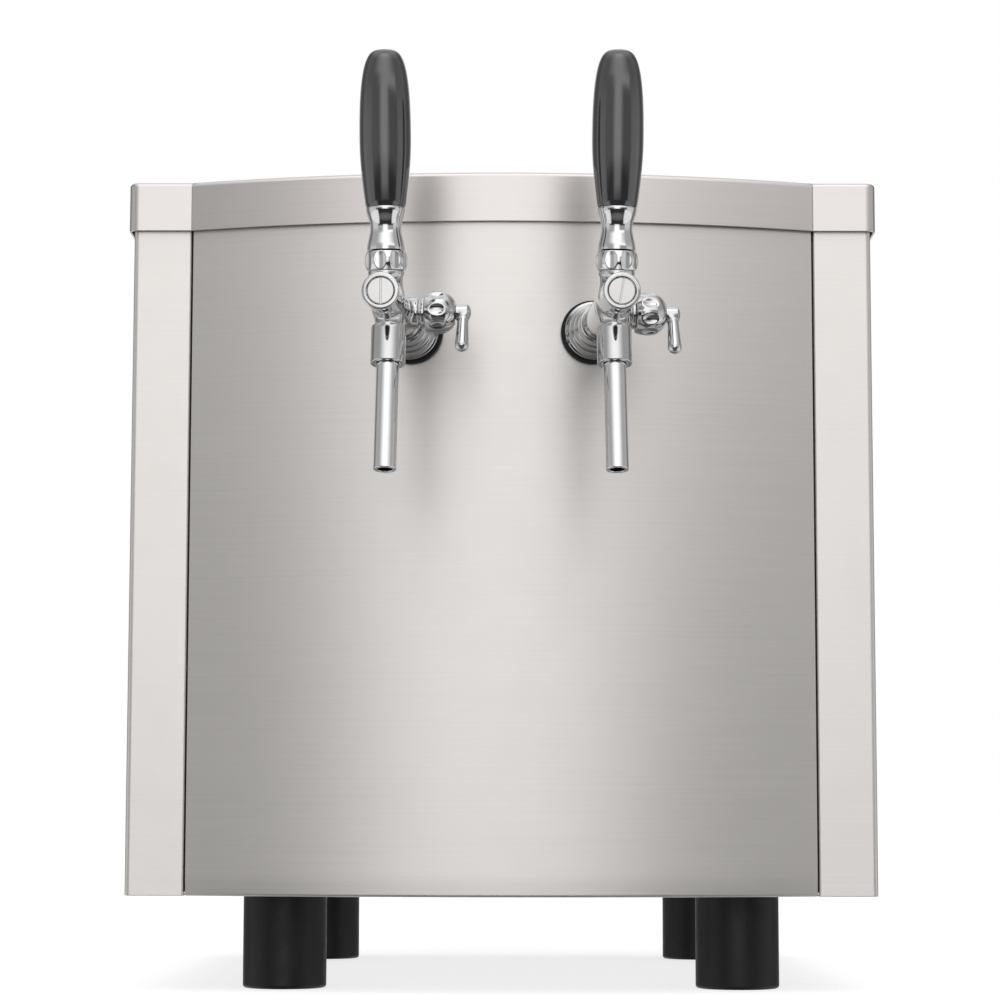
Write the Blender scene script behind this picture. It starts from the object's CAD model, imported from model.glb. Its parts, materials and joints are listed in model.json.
"""Looks of a countertop beer dispenser: steel cabinet with a bowed front, lift-off lid and two lever taps.

Lengths are millimetres until piece() turns them into metres. A plan path runs anticlockwise seen from above,
so the outside lies on its right. A shell is (points, list of face arrays, length along the profile).
"""

import json
import math

import bpy
import numpy as np
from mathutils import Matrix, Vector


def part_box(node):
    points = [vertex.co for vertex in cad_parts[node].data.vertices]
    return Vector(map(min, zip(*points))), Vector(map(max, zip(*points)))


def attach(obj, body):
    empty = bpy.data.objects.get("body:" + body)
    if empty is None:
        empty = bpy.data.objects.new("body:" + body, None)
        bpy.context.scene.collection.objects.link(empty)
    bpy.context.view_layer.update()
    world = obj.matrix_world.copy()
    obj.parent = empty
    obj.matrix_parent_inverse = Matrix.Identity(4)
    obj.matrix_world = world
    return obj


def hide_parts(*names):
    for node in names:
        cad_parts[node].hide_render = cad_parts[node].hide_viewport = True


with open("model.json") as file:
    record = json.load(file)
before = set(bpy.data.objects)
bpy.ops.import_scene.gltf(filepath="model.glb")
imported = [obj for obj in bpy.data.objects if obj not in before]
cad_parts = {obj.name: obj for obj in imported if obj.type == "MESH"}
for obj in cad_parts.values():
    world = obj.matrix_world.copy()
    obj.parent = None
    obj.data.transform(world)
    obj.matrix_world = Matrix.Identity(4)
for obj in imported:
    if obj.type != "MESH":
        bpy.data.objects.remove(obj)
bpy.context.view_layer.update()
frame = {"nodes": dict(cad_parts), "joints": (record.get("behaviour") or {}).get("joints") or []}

MM = 0.001
TAU = 2 * math.pi
SIDES = {"left": -1, "right": 1}


def node_box(node):
    """Lowest and highest corner of a CAD node, in millimetres."""
    low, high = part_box(node)
    return np.array(low) / MM, np.array(high) / MM


# Cabinet, read from the solids
SIDE_LOW, SIDE_HIGH = node_box("side_panel_right")
FRONT_LOW, FRONT_HIGH = node_box("front_panel")
LID_LOW, LID_HIGH = node_box("lid_cap")
HALF_W = SIDE_HIGH[0]
PILLAR_Y = SIDE_LOW[1]
SHELL_Y = SIDE_HIGH[1]
REAR_Y = node_box("rear_panel")[1][1]
Z_BASE = SIDE_LOW[2]
Z_TOP = SIDE_HIGH[2]
SEAM_X = (FRONT_HIGH[0] + SIDE_LOW[0]) / 2
BULGE = PILLAR_Y - FRONT_LOW[1]
ARC_R = (SEAM_X ** 2 + BULGE ** 2) / (2 * BULGE)
ARC_Y = PILLAR_Y - BULGE + ARC_R
OVERHANG = LID_HIGH[0] - HALF_W

# Sheet work
SHEET = 1.2
CUT_EDGE = 0.25
FOLD = 12.0
REAR_FOLD = 20.0
CORNER_R = 3.0
RETURN_R = 1.5
FOLD_R = 1.5
RETURN_SHORT = 3.0
DRAW_UP = 10.0
DRAW_IN = 0.4
DRAW_R = 220.0
LID_EDGE_R = 2.4
LID_CORNER_R = 6.0
CREASE_HALF = 0.35
CREASE_DEPTH = 0.45
ARC_ROWS = 97

# Lid seal, feet and rear screws
SEAL_WIDTH = 10.0
SEAL_GROOVE = 1.2
SEAL_EDGE_R = 1.2
SEAL_CORNER_R = 14.0
FOOT_RING = 10.0
FOOT_HOLLOW = 1.6
SCREW_R = 3.9
SCREW_H = 2.0
SCREW_DOME_R = 5.2
SCREW_CELL = 0.3
SCREW_ROWS = 4

# Gap round a piece in its hole, how far a cut runs past a face, and the easing of a hollow's rim
RUN_GAP = 0.08
CUT_PAST = 2.0
BORE_EASE = 0.3
MOUTH_EASE = 0.2

# Taps, in each tap's own frame: origin on the panel, X to the side, Y to the back, Z up. A pair is a span:
# of a swing or an arc in degrees, or along the piece's own axis. WIDEST and WAIST_UP are shares of a length
PIVOT_REACH = 113.0
PIVOT_UP = 20.6
LEVER_LEAN = 6.0
TAIL_SWING = (-14.0, 25.0)
TAIL_ROOM = 2.6
NECK_R = 9.2
NECK_RIM_R = 9.9
NECK_THREAD_R = 8.6
NECK_ROOT = -20.0
NECK_TOP = -5.55
NECK_RIM_H = 2.35
NECK_THREAD = (-8.0, -0.2)
CUP_R = 7.15
BARREL_R = 9.7
BARREL_BORE_R = 5.6
FRONT_RING_R = 10.2
FRONT_RING_LEN = 3.4
BARREL_START = 8.0
BARREL_END = 136.6
SPOUT_REACH = 98.3
SPOUT_LEAN = 9.4
SPOUT_LEN = 96.0
SOCKET_LEN = 35.6
SOCKET_R = 9.6
SOCKET_TOP = 14.2
SOCKET_SEAT = 20.6
SOCKET_RIM_R = 7.4
SOCKET_RIM_H = 1.8
WAIST_R = 7.5
WAIST_LEN = 18.0
SPOUT_R = 6.3
SPOUT_BORE_R = 4.2
SPOUT_TOP = 20.8
COMP_REACH = 66.0
STUB_REACH = 16.4
STUB_GAP = 0.3
STUB_R = 7.3
STUB_RING = (5.0, 12.8)
STUB_RING_R = 8.9
STUB_RIM_START = 14.0
STUB_RIM_R = 8.6
STUB_THREAD_START = 10.0
STUB_THREAD_LEN = 5.8
STUB_THREAD_R = 6.3
GLAND_R = 12.2
GLAND_SEAT_R = 10.98
GLAND_LEN = 16.8
GLAND_WIDEST = 0.4
GLAND_BORE_R = 6.4
GLAND_BORE_LEN = 6.2
SPINDLE_R = 4.0
SPINDLE_START = 5.9
SPINDLE_HEAD_R = 4.5
SPINDLE_REACH = 42.0
SPINDLE_DOME_R = 6.2
SPINDLE_DOME_H = 5.0
SMALL_LEVER_LEAN = 22.0
SMALL_LEVER_LEN = 21.5
SMALL_LEVER_ROOT_R = 2.8
SMALL_LEVER_TIP_R = 3.9
COLLAR_R = 11.7
COLLAR_H = 10.5
COLLAR_MOUTH_R = 6.4
COLLAR_THREAD_R = 8.7
SCALLOPS = 8
SCALLOP_SHARP = 8.0
FERRULE_TOP = 29.4
FERRULE_RIM_R = 10.45
FERRULE_WAIST_R = 8.45
FERRULE_WAIST_UP = 0.52
FERRULE_TOP_R = 10.8
FERRULE_SEAT_R = 12.05
FERRULE_SEAT = (5.0, 57.5)
GRIP_LEN = 86.4
GRIP_R = 14.15
GRIP_FOOT_R = 10.95
GRIP_WIDEST = 0.44
SHANK_R = 7.95
SHANK_TAIL = 75.9
SHANK_GRIP = 24.0
SHANK_PITCH = 1.6
SHANK_THREAD = 0.7
SHANK_NUT_R = 13.0
SHANK_NUT_FACE = 62.9
WASHER_R = 18.8
WASHER_BORE_R = 8.25
WASHER_T = 3.5
FLANGE_R = 17.1
FLANGE_BORE_R = 8.8
FLANGE_SEAT_R = 9.8
SPANNER_ANGLE = 206.0
SPANNER_R = 2.8
SPANNER_UP = 6.3
SPANNER_DEPTH = 2.2
SPANNER_FLOOR_R = 14.0
PLUG_R = 7.3
PLUG_START = 125.6
PLUG_FACE = 136.2
PLUG_SLOT = 0.8
PLUG_SLOT_DEPTH = 0.5
PLUG_RIM = 0.55
PLUG_RIM_H = 1.5
SLOT_TURN = {"left": 0.0, "right": -10.0}
COLLAR_TURN = {"left": 12.5, "right": 0.0}
GLAND_TURN = {"left": 22.5, "right": 0.0}

# Pipes, and the fittings of the rear wall along their own Z, which leads out from the wall's face
TUBE_R = 4.75
COIL_LOOPS = 12
LOOP_POINTS = 72
PIPE_R = 7.0
PIPE_BORE_R = 4.0
PIPE_TAIL = 48.7
PIPE_EDGE = 0.4
NUT_R = 12.0
NUT_T = 7.0
NUT_FACE = 35.7
NUT_SLANT = 1.6
NUT_LIP = 0.6
CHAMFER_RISE = 0.6
INLET_HEX_R = 14.95
INLET_HEX_T = 8.0
INLET_THREAD_R = 11.45
INLET_THREAD_LEN = 16.0
INLET_PITCH = 1.8
INLET_THREAD = 0.9
INLET_SLANT = 1.2
DRAIN_R = 10.0
DRAIN_LEN = 22.0
DRAIN_COLLAR_R = 14.0
DRAIN_COLLAR_T = 3.0
SPIGOT_R = 6.2
SPIGOT_LEN = 20.0
BARBS = 3
BARB_DEPTH = 1.2
KEY_R = 5.0
KEY_TOP = 12.0
KEY_BOSS_R = 7.6
KEY_BOSS_END = 10.8
KEY_LEVER_T = 3.0
KEY_LEVER_W = 8.0
KEY_LEVER_LEN = 26.0
KEY_LEVER_TAPER = 1.5


# Shader nodes


def put(tree, kind, values=None, **settings):
    """A shader node with these settings; values name its inputs and hold numbers, colours or sockets."""
    node = tree.nodes.new("ShaderNode" + kind)
    for key, value in settings.items():
        setattr(node, key, value)
    for key, value in (values or {}).items():
        if isinstance(value, bpy.types.NodeSocket):
            tree.links.new(value, node.inputs[key])
        else:
            node.inputs[key].default_value = value
    return node


def maths(tree, operation, *values):
    """Result of a Math node."""
    return put(tree, "Math", dict(enumerate(values)), operation=operation).outputs[0]


def eased(tree, value, start, end, low=0.0, high=1.0):
    """Goes smoothly from low to high while value goes from start to end."""
    ends = {"Value": value, "From Min": start, "From Max": end, "To Min": low, "To Max": high}
    return put(tree, "MapRange", ends, interpolation_type="SMOOTHSTEP").outputs["Result"]


def blended(tree, share, first, second):
    """Colour between two others."""
    return put(tree, "Mix", {0: share, 6: first, 7: second}, data_type="RGBA").outputs[2]


def noise(tree, vector, scale, detail=3.0, rough=0.5):
    """Soft noise about 0.5 with so many swells in a metre."""
    values = {"Vector": vector, "Scale": scale, "Detail": detail, "Roughness": rough}
    return put(tree, "TexNoise", values).outputs[0]


def place_of(tree):
    """The Object coordinates, which are the row frame in metres."""
    return put(tree, "TexCoord").outputs["Object"]


def new_group(name, inputs, outputs):
    """An empty node group with number sockets. Returns its tree, its inputs and its outputs."""
    tree = bpy.data.node_groups.new(name, "ShaderNodeTree")
    for label, value in inputs.items():
        tree.interface.new_socket(label, in_out="INPUT", socket_type="NodeSocketFloat").default_value = value
    for label in outputs:
        tree.interface.new_socket(label, in_out="OUTPUT", socket_type="NodeSocketFloat")
    given = tree.nodes.new("NodeGroupInput").outputs
    result = tree.nodes.new("NodeGroupOutput").inputs
    return tree, given, result


def make_level_grain():
    """Grain of rolled sheet: noise drawn out along level lines, counted upwards on upright faces and along Y
    on level ones, by the square of the normal's upward share."""
    tree, given, result = new_group("level_grain", {"Along": 10.0, "Across": 700.0}, ["Streak", "Band"])
    spot = put(tree, "SeparateXYZ", {0: place_of(tree)}).outputs
    normal = put(tree, "SeparateXYZ", {0: put(tree, "NewGeometry").outputs["True Normal"]}).outputs
    level = maths(tree, "MULTIPLY", normal[2], normal[2])
    upright = maths(tree, "SUBTRACT", 1.0, level)
    up_part = maths(tree, "MULTIPLY", spot[2], upright)
    across = maths(tree, "MULTIPLY_ADD", spot[1], level, up_part)
    along = maths(tree, "MULTIPLY_ADD", spot[1], upright, spot[0])
    stretch = {0: maths(tree, "MULTIPLY", along, given["Along"]),
               1: maths(tree, "MULTIPLY", across, given["Across"])}
    lines = put(tree, "CombineXYZ", stretch).outputs[0]
    tree.links.new(noise(tree, lines, 1.0, 4.0, 0.7), result["Streak"])
    tree.links.new(noise(tree, lines, 0.08, 2.0, 0.5), result["Band"])
    return tree


def make_handling_marks():
    """Soft patches left by wiping and hands: two noises, multiplied and eased to a mask."""
    tree, given, result = new_group("handling_marks", {"Size": 18.0}, ["Mask"])
    spot = place_of(tree)
    wide = noise(tree, spot, given["Size"], 3.0, 0.6)
    fine_scale = maths(tree, "MULTIPLY", given["Size"], 7.0)
    fine = noise(tree, spot, fine_scale, 5.0, 0.65)
    tree.links.new(eased(tree, maths(tree, "MULTIPLY", wide, fine), 0.18, 0.36), result["Mask"])
    return tree


def make_mould_skin():
    """Fine skin of a moulded piece: pits from cells and a slower change of tone."""
    tree, given, result = new_group("mould_skin", {"Grain": 2400.0}, ["Tone", "Height"])
    spot = place_of(tree)
    cells = put(tree, "TexVoronoi", {"Vector": spot, "Scale": given["Grain"]}).outputs["Distance"]
    slow_scale = maths(tree, "MULTIPLY", given["Grain"], 0.03)
    slow = noise(tree, spot, slow_scale, 5.0, 0.6)
    tree.links.new(slow, result["Tone"])
    tree.links.new(maths(tree, "MULTIPLY_ADD", cells, 0.7, slow), result["Height"])
    return tree


def make_turned_lines():
    """Lines left by turning or drawing: noise that depends only on the length along the piece's profile."""
    tree, given, result = new_group("turned_lines", {"Count": 2500.0}, ["Line"])
    along = put(tree, "Attribute", attribute_name="along").outputs["Fac"]
    values = {"W": along, "Scale": given["Count"], "Detail": 3.0, "Roughness": 0.6}
    tree.links.new(put(tree, "TexNoise", values, noise_dimensions="1D").outputs[0], result["Line"])
    return tree


LEVEL_GRAIN = make_level_grain()
HANDLING_MARKS = make_handling_marks()
MOULD_SKIN = make_mould_skin()
TURNED_LINES = make_turned_lines()


def use(tree, group, **values):
    """Outputs of a group placed in a material with its own values."""
    return put(tree, "Group", values, node_tree=group).outputs


def finish(name, pattern, dark, light, smooth, dull, bump, **fixed):
    """A finish: pattern(tree) gives tone, dullness and height; colour goes from dark to light with the tone,
    roughness from smooth to dull with the dullness, and the height goes to a bump of (strength, metres).
    The other values are set on the shader's own sockets."""
    material = bpy.data.materials.new(name)
    material.use_nodes = True
    tree = material.node_tree
    shader = tree.nodes["Principled BSDF"]
    tone, dullness, height = pattern(tree)
    tree.links.new(blended(tree, tone, (*dark, 1.0), (*light, 1.0)), shader.inputs["Base Color"])
    span = {"Value": dullness, "To Min": smooth, "To Max": dull}
    tree.links.new(put(tree, "MapRange", span).outputs["Result"], shader.inputs["Roughness"])
    relief = {"Strength": bump[0], "Distance": bump[1], "Height": height}
    tree.links.new(put(tree, "Bump", relief).outputs[0], shader.inputs["Normal"])
    for label, value in fixed.items():
        shader.inputs[label.replace("_", " ")].default_value = value
    return material


def level_brushing(material):
    """Sets the tangent of a brushed finish level on every face: up x normal, plus a trace of X, which is
    all that level faces have."""
    tree = material.node_tree
    normal = put(tree, "NewGeometry").outputs["Normal"]
    level = put(tree, "VectorMath", {0: (0.0, 0.0, 1.0), 1: normal}, operation="CROSS_PRODUCT").outputs[0]
    level = put(tree, "VectorMath", {0: level, 1: (0.001, 0.0, 0.0)}, operation="ADD").outputs[0]
    tree.links.new(level, tree.nodes["Principled BSDF"].inputs["Tangent"])


def grain_pattern(along, across, size):
    """Level grain with wiped patches."""
    def pattern(tree):
        grain = use(tree, LEVEL_GRAIN, Along=along, Across=across)
        marks = use(tree, HANDLING_MARKS, Size=size)["Mask"]
        fine = maths(tree, "MULTIPLY", grain["Streak"], 0.85)
        tone = maths(tree, "MULTIPLY_ADD", grain["Band"], 0.15, fine)
        worn = maths(tree, "MULTIPLY_ADD", marks, 0.12, fine)
        return tone, worn, grain["Streak"]
    return pattern


def polish_pattern(size):
    """Polished plating: faint wiped patches and a very slight swell."""
    def pattern(tree):
        marks = use(tree, HANDLING_MARKS, Size=size)["Mask"]
        swell = noise(tree, place_of(tree), size * 4, 2.0, 0.4)
        return swell, marks, swell
    return pattern


def turned_pattern(count, size):
    """Turning lines with wiped patches."""
    def pattern(tree):
        line = use(tree, TURNED_LINES, Count=count)["Line"]
        marks = use(tree, HANDLING_MARKS, Size=size)["Mask"]
        dull = maths(tree, "MULTIPLY_ADD", marks, 0.5, maths(tree, "MULTIPLY", line, 0.5))
        return line, dull, line
    return pattern


def mould_pattern(grain, size):
    """Moulded skin with rubbed patches."""
    def pattern(tree):
        skin = use(tree, MOULD_SKIN, Grain=grain)
        marks = use(tree, HANDLING_MARKS, Size=size)["Mask"]
        dull = maths(tree, "MULTIPLY_ADD", marks, 0.6, maths(tree, "MULTIPLY", skin["Tone"], 0.4))
        return skin["Tone"], dull, skin["Height"]
    return pattern


def metal(*looks, **fixed):
    """A finish that is metal all over."""
    return finish(*looks, Metallic=1.0, **fixed)


PANEL_STEEL = metal("panel_steel", grain_pattern(9.0, 620.0, 6.0), (0.74, 0.715, 0.69), (0.86, 0.83, 0.805),
                    0.33, 0.44, (0.10, 0.00006), Anisotropic=0.6, Anisotropic_Rotation=0.25)
level_brushing(PANEL_STEEL)
LID_STEEL = metal("lid_steel", grain_pattern(9.0, 620.0, 6.0), (0.67, 0.632, 0.619), (0.775, 0.732, 0.716),
                  0.25, 0.34, (0.08, 0.00006))
INNER_STEEL = metal("inner_steel", grain_pattern(16.0, 260.0, 22.0), (0.50, 0.50, 0.50), (0.72, 0.72, 0.71),
                    0.24, 0.46, (0.12, 0.0001))
CHROME = metal("chrome", polish_pattern(24.0), (0.62, 0.62, 0.625), (0.70, 0.70, 0.705),
               0.035, 0.085, (0.02, 0.00005))
BRIGHT_CHROME = metal("bright_chrome", polish_pattern(30.0), (0.76, 0.76, 0.765), (0.85, 0.85, 0.855),
                      0.03, 0.075, (0.02, 0.00005))
TURNED_CHROME = metal("turned_chrome", turned_pattern(1500.0, 24.0), (0.52, 0.52, 0.525),
                      (0.64, 0.64, 0.645), 0.05, 0.14, (0.08, 0.00003))
SATIN_CHROME = metal("satin_chrome", turned_pattern(2600.0, 30.0), (0.70, 0.685, 0.67), (0.82, 0.805, 0.79),
                     0.24, 0.36, (0.05, 0.00003))
COIL_STEEL = metal("coil_steel", turned_pattern(900.0, 40.0), (0.52, 0.53, 0.54), (0.74, 0.74, 0.75),
                   0.20, 0.42, (0.12, 0.0001))
FASTENER_STEEL = metal("fastener_steel", turned_pattern(1200.0, 40.0), (0.46, 0.46, 0.46),
                       (0.68, 0.68, 0.67), 0.22, 0.40, (0.12, 0.00008))
BRASS = metal("brass", turned_pattern(1400.0, 40.0), (0.60, 0.43, 0.19), (0.80, 0.62, 0.32),
              0.16, 0.38, (0.12, 0.00008))
GRIP_BLACK = finish("grip_black", mould_pattern(1500.0, 30.0), (0.012, 0.012, 0.014),
                    (0.028, 0.028, 0.031), 0.05, 0.11, (0.012, 0.0001),
                    Specular_IOR_Level=1.0, Coat_Weight=1.0, Coat_Roughness=0.03)
FOOT_RUBBER = finish("foot_rubber", mould_pattern(1300.0, 26.0), (0.002, 0.002, 0.002),
                     (0.007, 0.007, 0.008), 0.34, 0.50, (0.18, 0.0002), Specular_IOR_Level=0.35)
SEAL_RUBBER = finish("seal_rubber", mould_pattern(2200.0, 40.0), (0.003, 0.003, 0.003),
                     (0.010, 0.010, 0.011), 0.42, 0.62, (0.18, 0.0001), Specular_IOR_Level=0.3)
FOAM = finish("foam", mould_pattern(520.0, 20.0), (0.74, 0.69, 0.54), (0.90, 0.87, 0.76),
              0.75, 0.95, (0.6, 0.0008))
CONE_WHITE = finish("cone_white", mould_pattern(1800.0, 60.0), (0.78, 0.78, 0.75), (0.90, 0.90, 0.88),
                    0.35, 0.50, (0.08, 0.0001))


# Shells


def shift(x, y, z):
    """Matrix of a move."""
    matrix = np.eye(4)
    matrix[:3, 3] = x, y, z
    return matrix


def turn(axis, degrees):
    """Matrix of a right-hand turn about axis 0, 1 or 2."""
    angle = math.radians(degrees)
    i, j = (axis + 1) % 3, (axis + 2) % 3
    matrix = np.eye(4)
    matrix[i, i] = matrix[j, j] = math.cos(angle)
    matrix[j, i] = math.sin(angle)
    matrix[i, j] = -matrix[j, i]
    return matrix


def moved(shell, matrix):
    """The shell with every point put through the matrix."""
    points, faces, along = shell
    return points @ matrix[:3, :3].T + matrix[:3, 3], faces, along


def joined(*shells):
    """Several shells as one."""
    starts = np.cumsum([0] + [len(shell[0]) for shell in shells[:-1]])
    faces = [part + start for shell, start in zip(shells, starts) for part in shell[1]]
    return np.concatenate([s[0] for s in shells]), faces, np.concatenate([s[2] for s in shells])


def piece(name, shell, material, body, nodes, normals=None, crease=35.0):
    """A mesh object from a shell, riding on a body and standing for CAD nodes. Edges sharper than the crease
    angle are kept sharp, and where normals are given, they shade the piece."""
    points, faces, along = shell
    corners = np.concatenate([part.ravel() for part in faces])
    sizes = np.concatenate([np.full(len(part), part.shape[1]) for part in faces])
    mesh = bpy.data.meshes.new(name)
    mesh.vertices.add(len(points))
    mesh.vertices.foreach_set("co", (points * MM).astype(np.float32).ravel())
    mesh.loops.add(len(corners))
    mesh.loops.foreach_set("vertex_index", corners.astype(np.int32))
    mesh.polygons.add(len(sizes))
    mesh.polygons.foreach_set("loop_start", (np.cumsum(sizes) - sizes).astype(np.int32))
    mesh.polygons.foreach_set("use_smooth", np.ones(len(sizes), bool))
    mesh.update(calc_edges=True)
    mesh.attributes.new("along", "FLOAT", "POINT").data.foreach_set("value", (along * MM).astype(np.float32))
    if normals is None:
        mesh.set_sharp_from_angle(angle=math.radians(crease))
    else:
        mesh.normals_split_custom_set_from_vertices(normals.tolist())
    mesh.materials.append(material)
    made = bpy.data.objects.new(name, mesh)
    bpy.context.scene.collection.objects.link(made)
    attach(made, body)
    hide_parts(*nodes)
    return made


def grid_faces(rows, cols, wrap_rows=False, wrap_cols=False):
    """Quads over a grid of points numbered row by row, facing along column step x row step."""
    i = np.arange(rows if wrap_rows else rows - 1)[:, None]
    j = np.arange(cols if wrap_cols else cols - 1)[None]
    i2 = (i + 1) % rows
    j2 = (j + 1) % cols
    corners = [i * cols + j, i * cols + j2, i2 * cols + j2, i2 * cols + j]
    return np.stack(np.broadcast_arrays(*corners), -1).reshape(-1, 4)


def run_length(line):
    """Length along a polyline at each of its points."""
    steps = np.linalg.norm(np.diff(line, axis=0), axis=1)
    return np.concatenate([[0.0], np.cumsum(steps)])


def lathe(profile, turns=96, dent=None, ring=False):
    """Surface of revolution about Z: the point at (s, a) is (r(s) cos a, r(s) sin a, z(s)).

    The profile of (r, z) climbs on its outer side. It starts and ends on the axis, or closes on itself as a
    ring. dent(a, r, z) gives the radius where the surface isn't round."""
    profile = np.asarray(profile, float)
    rim = profile if ring else profile[1:-1]
    a = np.broadcast_to(TAU * np.arange(turns) / turns, (len(rim), turns))
    r = np.broadcast_to(rim[:, :1], a.shape)
    z = np.broadcast_to(rim[:, 1:], a.shape)
    if dent:
        r = dent(a, r, z)
    points = np.stack([r * np.cos(a), r * np.sin(a), z], -1).reshape(-1, 3)
    along = np.repeat(run_length(rim), turns)
    faces = [grid_faces(len(rim), turns, wrap_rows=ring, wrap_cols=True)]
    if ring:
        return points, faces, along
    ends = np.array([[0, 0, profile[0, 1]], [0, 0, profile[-1, 1]]])
    first = len(points)
    top = first - turns
    j = np.arange(turns)
    k = (j + 1) % turns
    faces.append(np.stack([np.full(turns, first), k, j], 1))
    faces.append(np.stack([np.full(turns, first + 1), top + j, top + k], 1))
    return np.concatenate([points, ends]), faces, np.concatenate([along, along[[0, -1]]])


def rounded(corners, closed=False, steps=6, guard=0.4):
    """Line through (x, y, r) corners, each an arc of radius r that touches both its sides. A guard point
    beside each arc keeps the shading of the straight sides flat."""
    corners = np.asarray(corners, float)
    count = len(corners)
    spot = corners[:, :2]
    back = np.roll(spot, 1, 0) - spot
    ahead = np.roll(spot, -1, 0) - spot
    back_len = np.linalg.norm(back, axis=1)
    ahead_len = np.linalg.norm(ahead, axis=1)
    back /= back_len[:, None]
    ahead /= ahead_len[:, None]
    half = np.arccos(np.clip((back * ahead).sum(1), -1, 1)) / 2
    reach = corners[:, 2] / np.tan(np.maximum(half, 1e-6))
    if not closed:
        reach[[0, -1]] = 0
    line = []
    for k in range(count):
        if reach[k] <= 1e-9:
            line.append(spot[k][None])
            continue
        arm = back[k] + ahead[k]
        centre = spot[k] + arm / np.linalg.norm(arm) * corners[k, 2] / math.sin(half[k])
        start = spot[k] + back[k] * reach[k] - centre
        end = spot[k] + ahead[k] * reach[k] - centre
        swing = math.pi - 2 * half[k]
        t = np.linspace(0, 1, steps + 1)[:, None]
        arc = centre + (np.sin((1 - t) * swing) * start + np.sin(t * swing) * end) / math.sin(swing)
        free_back = max((back_len[k] - reach[k] - reach[k - 1]) / 3, 0)
        free_ahead = max((ahead_len[k] - reach[k] - reach[(k + 1) % count]) / 3, 0)
        first = spot[k] + back[k] * (reach[k] + min(guard, free_back))
        last = spot[k] + ahead[k] * (reach[k] + min(guard, free_ahead))
        line += [first[None], arc, last[None]]
    line = np.concatenate(line)
    apart = np.linalg.norm(line - np.roll(line, 1, 0), axis=1) > 1e-5
    if not closed:
        apart[0] = True
    return line[apart]


def inward_of(path, closed=False):
    """Unit normals to the left of a plan path, from the mean direction of the steps beside each point."""
    if closed:
        ahead = np.roll(path, -1, 0) - path
        back = path - np.roll(path, 1, 0)
    else:
        step = np.diff(path, axis=0)
        ahead = np.concatenate([step, step[-1:]])
        back = np.concatenate([step[:1], step])
    way = ahead / np.linalg.norm(ahead, axis=1)[:, None] + back / np.linalg.norm(back, axis=1)[:, None]
    way /= np.linalg.norm(way, axis=1)[:, None]
    return np.stack([-way[:, 1], way[:, 0]], 1)


def sweep(path, inward, ring, closed=False, tube=True):
    """A ring of (depth, height) points carried along a plan path: the point at (i, k) lies depth(k) inward
    of path(i), at height(k). The ring runs down its outer side. With tube it closes on itself, and otherwise
    flat faces fill the loops that its two ends draw."""
    plan = path[:, None] + ring[None, :, :1] * inward[:, None]
    height = np.broadcast_to(ring[None, :, 1:], (*plan.shape[:2], 1))
    points = np.concatenate([plan, height], -1).reshape(-1, 3)
    rows, cols = plan.shape[:2]
    faces = [grid_faces(rows, cols, wrap_rows=closed, wrap_cols=tube)]
    if not closed:
        loop = np.arange(cols)[None]
        faces += [loop[:, ::-1], loop + (rows - 1) * cols]
    if not tube:
        loop = np.arange(rows)[None] * cols
        faces += [loop, loop[:, ::-1] + cols - 1]
    return points, faces, np.zeros(len(points))


def strip(z_low, z_high, thick=SHEET):
    """Ring of a plain upright sheet with eased edges."""
    spots = ((0, z_high), (0, z_low), (thick, z_low), (thick, z_high))
    return rounded([(*spot, CUT_EDGE) for spot in spots], closed=True, steps=3)


def bar(low, high):
    """A flat bar between two corners, with eased edges along Y."""
    path = np.array([[low[0], high[1]], [low[0], low[1]]])
    return sweep(path, inward_of(path), strip(low[2], high[2], high[0] - low[0]))


def pipe(path, r, sides=20):
    """Round tube along a path that is nowhere upright. The ring at each point lies on the level normal
    way x Z and on that normal x way, and the ends are flat."""
    way = np.gradient(path, axis=0)
    way /= np.linalg.norm(way, axis=1)[:, None]
    level = np.cross(way, [0, 0, 1.0])
    level /= np.linalg.norm(level, axis=1)[:, None]
    upper = np.cross(level, way)
    a = (TAU * np.arange(sides) / sides)[None, :, None]
    points = path[:, None] + r * (level[:, None] * np.cos(a) - upper[:, None] * np.sin(a))
    loop = np.arange(sides)[None]
    side = grid_faces(len(path), sides, wrap_cols=True)
    faces = [side, loop[:, ::-1], loop + (len(path) - 1) * sides]
    return points.reshape(-1, 3), faces, np.repeat(run_length(path), sides)


def front_arc(grow, x):
    """The bowed front in plan, grown by so much, at each x: y = centre - sqrt(R^2 - x^2)."""
    return np.stack([x, ARC_Y - np.sqrt((ARC_R + grow) ** 2 - x ** 2)], 1)


# Solids that are cast: the surface where a distance field is zero


def rod(p, start, end, r, edge=0.0):
    """Distance to a round bar from start to end, with its rims rounded by edge."""
    start = np.asarray(start, float)
    axis = np.asarray(end, float) - start
    length = np.linalg.norm(axis)
    axis = axis / length
    along = (p - start) @ axis
    away = np.linalg.norm(p - start - along[:, None] * axis, axis=1)
    q0 = away - r + edge
    q1 = np.abs(along - length / 2) - length / 2 + edge
    return np.hypot(np.maximum(q0, 0), np.maximum(q1, 0)) + np.minimum(np.maximum(q0, q1), 0) - edge


def drop(p, start, end, r0, r1):
    """Distance to a bar that swells from r0 to r1, with round ends."""
    start = np.asarray(start, float)
    way = np.asarray(end, float) - start
    share = np.clip((p - start) @ way / (way @ way), 0, 1)
    return np.linalg.norm(p - start - share[:, None] * way, axis=1) - (r0 + (r1 - r0) * share)


def block(p, centre, half, edge=0.0):
    """Distance to a box, with its edges rounded."""
    q = np.abs(p - np.asarray(centre, float)) - np.asarray(half, float) + edge
    return np.linalg.norm(np.maximum(q, 0), axis=1) + np.minimum(q.max(1), 0) - edge


def ball(p, centre, r):
    """Distance to a sphere."""
    return np.linalg.norm(p - np.asarray(centre, float), axis=1) - r


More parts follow.
